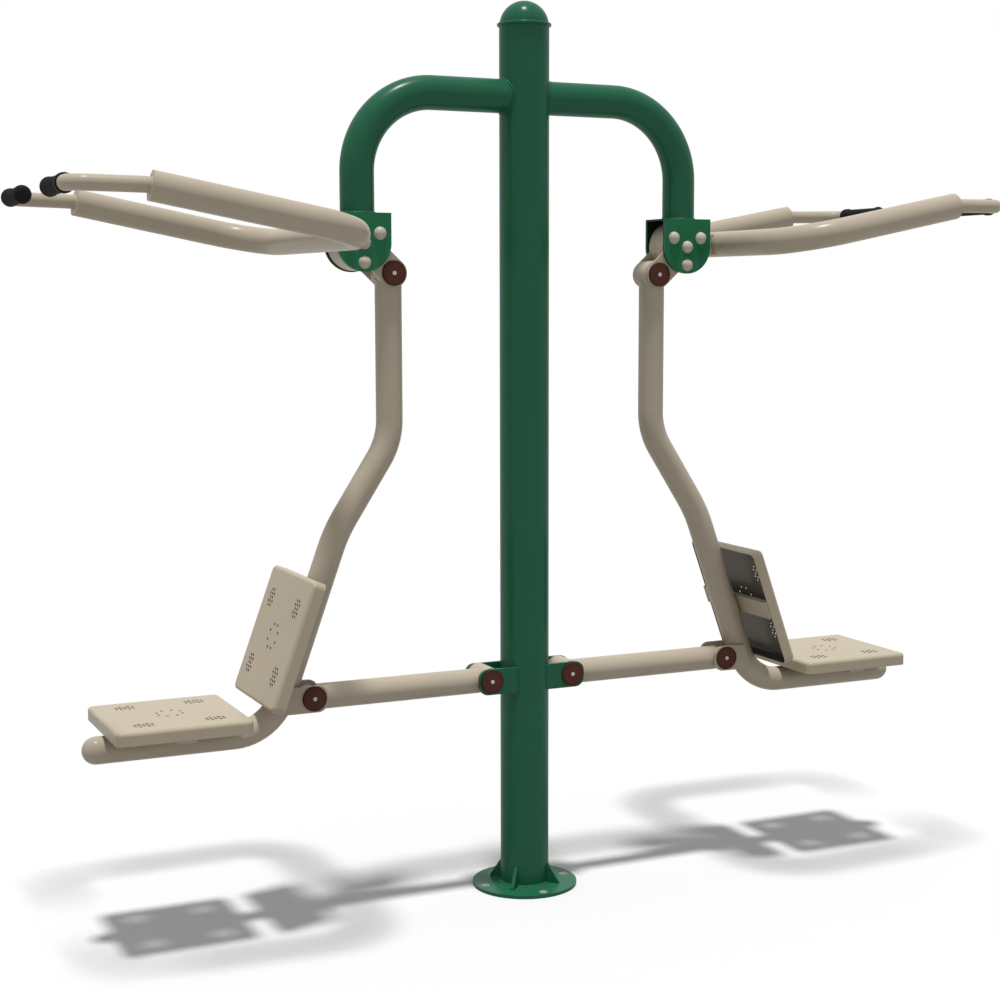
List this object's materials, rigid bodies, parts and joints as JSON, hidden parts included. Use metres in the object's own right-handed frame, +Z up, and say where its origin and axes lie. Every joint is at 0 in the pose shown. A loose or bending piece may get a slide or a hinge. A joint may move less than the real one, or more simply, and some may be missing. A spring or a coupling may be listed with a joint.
{
  "type": "outdoor seated pull machine",
  "caption": "Outdoor exercise frame: a post with an arch to each side carries a lever with overhead handles, from which a seat hangs on a linkage and rises as the handles are pulled down.",
  "frame": {"origin": "centre of the base flange on the ground", "axes": "+X outward to the right-hand seat, +Y away from the camera across the machine, +Z up"},
  "size_m": [2.2362, 0.7922, 2.0565],
  "materials": {
    "green_paint": "satin powder coat",
    "beige_paint": "satin powder coat",
    "pin_steel": "ground",
    "bush_plastic": "matte",
    "brown_plastic": "matte",
    "grip_rubber": "matte, ribbed"
  },
  "bodies": {
    "post": {"post": "green_paint", "base_flange": "green_paint", "base_gussets": "green_paint", "post_cap": "green_paint", "left_arch_tube": "green_paint", "left_clevis": "green_paint", "left_pivot_stubs": "pin_steel", "left_clevis_bolts": "beige_paint", "left_post_lugs": "green_paint", "left_post_pin": "pin_steel", "left_post_pin_caps": "brown_plastic", "right_arch_tube": "green_paint", "right_clevis": "green_paint", "right_pivot_stubs": "pin_steel", "right_clevis_bolts": "beige_paint", "right_post_lugs": "green_paint", "right_post_pin": "pin_steel", "right_post_pin_caps": "brown_plastic"},
    "left_lever": {"left_lever_hub": "beige_paint", "left_hub_bushes": "bush_plastic", "left_tail_plates": "beige_paint", "left_yoke_brackets": "beige_paint", "left_yoke": "beige_paint", "left_handle_bars": "beige_paint", "left_grips": "grip_rubber", "left_tail_pin": "pin_steel", "left_tail_pin_caps": "brown_plastic"},
    "left_hanger": {"left_hanger_tube": "beige_paint", "left_hanger_eye": "beige_paint", "left_hanger_eye_bushes": "bush_plastic", "left_hanger_lugs": "beige_paint", "left_seat_pin": "pin_steel", "left_seat_pin_caps": "brown_plastic", "left_back_pan": "beige_paint", "left_seat_pan": "beige_paint", "left_pan_crossbars": "beige_paint"},
    "left_link": {"left_link_tube": "beige_paint", "left_link_bushes": "bush_plastic"},
    "right_lever": {"right_lever_hub": "beige_paint", "right_hub_bushes": "bush_plastic", "right_tail_plates": "beige_paint", "right_yoke_brackets": "beige_paint", "right_yoke": "beige_paint", "right_handle_bars": "beige_paint", "right_grips": "grip_rubber", "right_tail_pin": "pin_steel", "right_tail_pin_caps": "brown_plastic"},
    "right_hanger": {"right_hanger_tube": "beige_paint", "right_hanger_eye": "beige_paint", "right_hanger_eye_bushes": "bush_plastic", "right_hanger_lugs": "beige_paint", "right_seat_pin": "pin_steel", "right_seat_pin_caps": "brown_plastic", "right_back_pan": "beige_paint", "right_seat_pan": "beige_paint", "right_pan_crossbars": "beige_paint"},
    "right_link": {"right_link_tube": "beige_paint", "right_link_bushes": "bush_plastic"}
  },
  "joints": [
    {"name": "left_lever_pivot", "type": "hinge", "parent": "post", "child": "left_lever", "pos_m": [-0.406, 0, 1.51], "axis": [0, -1, 0], "range_deg": [0, 40]},
    {"name": "left_hanger_pivot", "type": "hinge", "parent": "left_lever", "child": "left_hanger", "pos_m": [-0.335, 0, 1.445], "axis": [0, -1, 0], "range_deg": [-42, 0]},
    {"name": "left_link_pivot", "type": "hinge", "parent": "post", "child": "left_link", "pos_m": [-0.104, 0, 0.508], "axis": [0, -1, 0], "range_deg": [-9, 0]},
    {"name": "right_lever_pivot", "type": "hinge", "parent": "post", "child": "right_lever", "pos_m": [0.406, 0, 1.51], "axis": [0, 1, 0], "range_deg": [0, 40]},
    {"name": "right_hanger_pivot", "type": "hinge", "parent": "right_lever", "child": "right_hanger", "pos_m": [0.335, 0, 1.445], "axis": [0, 1, 0], "range_deg": [-42, 0]},
    {"name": "right_link_pivot", "type": "hinge", "parent": "post", "child": "right_link", "pos_m": [0.104, 0, 0.508], "axis": [0, 1, 0], "range_deg": [-9, 0]}
  ],
  "couplings": [
    {"joint": "left_hanger_pivot", "follows": "left_lever_pivot", "ratio": -1.0378},
    {"joint": "left_link_pivot", "follows": "left_lever_pivot", "ratio": -0.2158},
    {"joint": "right_hanger_pivot", "follows": "right_lever_pivot", "ratio": -1.0378},
    {"joint": "right_link_pivot", "follows": "right_lever_pivot", "ratio": -0.2158}
  ]
}
